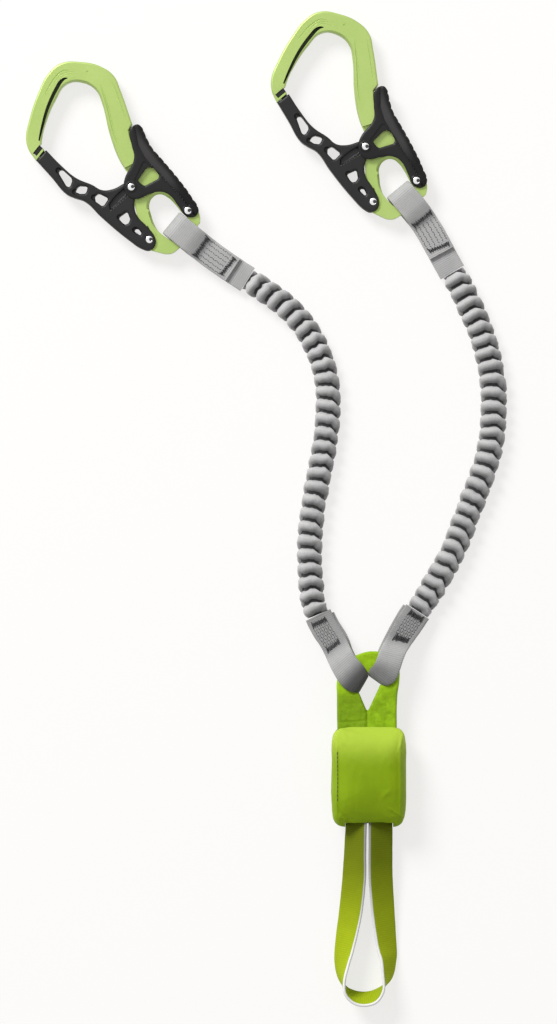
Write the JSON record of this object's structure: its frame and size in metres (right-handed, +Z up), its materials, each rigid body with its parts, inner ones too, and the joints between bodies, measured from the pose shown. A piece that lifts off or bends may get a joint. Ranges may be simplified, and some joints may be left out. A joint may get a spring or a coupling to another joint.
{
  "type": "via ferrata lanyard",
  "caption": "Y-shaped via ferrata lanyard: palm-lever carabiners on pleated elastic webbing arms, a tear-webbing energy absorber in a fabric pouch, and a tie-in loop.",
  "frame": {"origin": "centre of the flat back of the pouch, on the surface that the lanyard lies on", "axes": "+Y along the lanyard from the tie-in loop towards the carabiners, +Z up out of the pouch's front, +X to the right of someone who looks down on it"},
  "size_m": [0.2885, 0.596, 0.027],
  "materials": {
    "green_anodised": "satin anodised",
    "black_satin": "satin black",
    "bright_steel": "bright",
    "grey_webbing": "woven",
    "elastic": "matt",
    "green_fabric": "woven",
    "green_webbing": "woven",
    "tear_webbing": "woven"
  },
  "bodies": {
    "absorber": {"pouch_cover": "green_fabric", "tear_webbing_pack": "tear_webbing", "absorber_arch": "green_webbing"},
    "loop": {"tie_in_loop": "green_webbing"},
    "left_lower_strap": {"left_lower_eye": "grey_webbing"},
    "left_arm": {"left_arm_sleeve": "grey_webbing", "left_elastic_core": "elastic"},
    "left_upper_strap": {"left_upper_eye": "grey_webbing"},
    "left_carabiner": {"left_frame": "green_anodised", "left_gate_rivet": "bright_steel", "left_lever_rivet": "bright_steel", "left_gate_spring": "bright_steel", "left_lever_spring": "bright_steel"},
    "left_lever": {"left_palm_lever": "black_satin", "left_cam_pin": "bright_steel"},
    "left_gate_arm": {"left_gate": "black_satin"},
    "right_lower_strap": {"right_lower_eye": "grey_webbing"},
    "right_arm": {"right_arm_sleeve": "grey_webbing", "right_elastic_core": "elastic"},
    "right_upper_strap": {"right_upper_eye": "grey_webbing"},
    "right_carabiner": {"right_frame": "green_anodised", "right_gate_rivet": "bright_steel", "right_lever_rivet": "bright_steel", "right_gate_spring": "bright_steel", "right_lever_spring": "bright_steel"},
    "right_lever": {"right_palm_lever": "black_satin", "right_cam_pin": "bright_steel"},
    "right_gate_arm": {"right_gate": "black_satin"}
  },
  "joints": [
    {"name": "tie_in_loop_swing", "type": "hinge", "parent": "absorber", "child": "loop", "pos_m": [0, -0.029, 0.019], "axis": [1, 0, 0], "range_deg": [-60, 0]},
    {"name": "left_arm_spread", "type": "hinge", "parent": "absorber", "child": "left_lower_strap", "pos_m": [-0.0078, 0.0577, 0.012], "axis": [0, 0, 1], "range_deg": [0, 14]},
    {"name": "left_arm_lift", "type": "hinge", "parent": "left_lower_strap", "child": "left_arm", "pos_m": [-0.0316, 0.0975, 0.00615], "axis": [0.9011, 0.4335, 0], "range_deg": [-60, 60]},
    {"name": "left_arm_stretch", "type": "slide", "parent": "left_arm", "child": "left_upper_strap", "axis": [-0.2042, 0.9789, 0], "range_m": [0, 0.2], "stiffness_N_per_m": 150, "deforming": ["left_arm_sleeve", "left_elastic_core"]},
    {"name": "left_carabiner_tilt", "type": "hinge", "parent": "left_upper_strap", "child": "left_carabiner", "pos_m": [-0.1121, 0.3264, 0.0067], "axis": [0.6293, 0.7771, 0], "range_deg": [-60, 60]},
    {"name": "left_lever_squeeze", "type": "hinge", "parent": "left_carabiner", "child": "left_lever", "pos_m": [-0.10938, 0.3394, 0.0067], "axis": [0, 0, 1], "range_deg": [0, 5.5], "stiffness_Nm_per_rad": 0.5, "springref_deg": -5.73, "deforming": ["left_lever_spring"]},
    {"name": "left_gate_swing", "type": "hinge", "parent": "left_carabiner", "child": "left_gate_arm", "pos_m": [-0.13253, 0.32222, 0.0067], "axis": [0, 0, 1], "range_deg": [-23.1, 0], "stiffness_Nm_per_rad": 0.05, "springref_deg": 17.19, "deforming": ["left_gate_spring"]},
    {"name": "right_arm_spread", "type": "hinge", "parent": "absorber", "child": "right_lower_strap", "pos_m": [0.0063, 0.0601, 0.012], "axis": [0, 0, -1], "range_deg": [0, 14]},
    {"name": "right_arm_lift", "type": "hinge", "parent": "right_lower_strap", "child": "right_arm", "pos_m": [0.0284, 0.0995, 0.00615], "axis": [0.8336, -0.5523, 0], "range_deg": [-60, 60]},
    {"name": "right_arm_stretch", "type": "slide", "parent": "right_arm", "child": "right_upper_strap", "axis": [0.1028, 0.9947, 0], "range_m": [0, 0.2], "stiffness_N_per_m": 150, "deforming": ["right_arm_sleeve", "right_elastic_core"]},
    {"name": "right_carabiner_tilt", "type": "hinge", "parent": "right_upper_strap", "child": "right_carabiner", "pos_m": [0.0224, 0.3452, 0.0067], "axis": [0.766, 0.6428, 0], "range_deg": [-60, 60]},
    {"name": "right_lever_squeeze", "type": "hinge", "parent": "right_carabiner", "child": "right_lever", "pos_m": [0.02755, 0.35744, 0.0067], "axis": [0, 0, 1], "range_deg": [0, 5.5], "stiffness_Nm_per_rad": 0.5, "springref_deg": -5.73, "deforming": ["right_lever_spring"]},
    {"name": "right_gate_swing", "type": "hinge", "parent": "right_carabiner", "child": "right_gate_arm", "pos_m": [0.00155, 0.34499, 0.0067], "axis": [0, 0, 1], "range_deg": [-23.1, 0], "stiffness_Nm_per_rad": 0.05, "springref_deg": 17.19, "deforming": ["right_gate_spring"]}
  ],
  "couplings": [
    {"joint": "left_gate_swing", "follows": "left_lever_squeeze", "ratio": -4.2},
    {"joint": "right_gate_swing", "follows": "right_lever_squeeze", "ratio": -4.2}
  ]
}
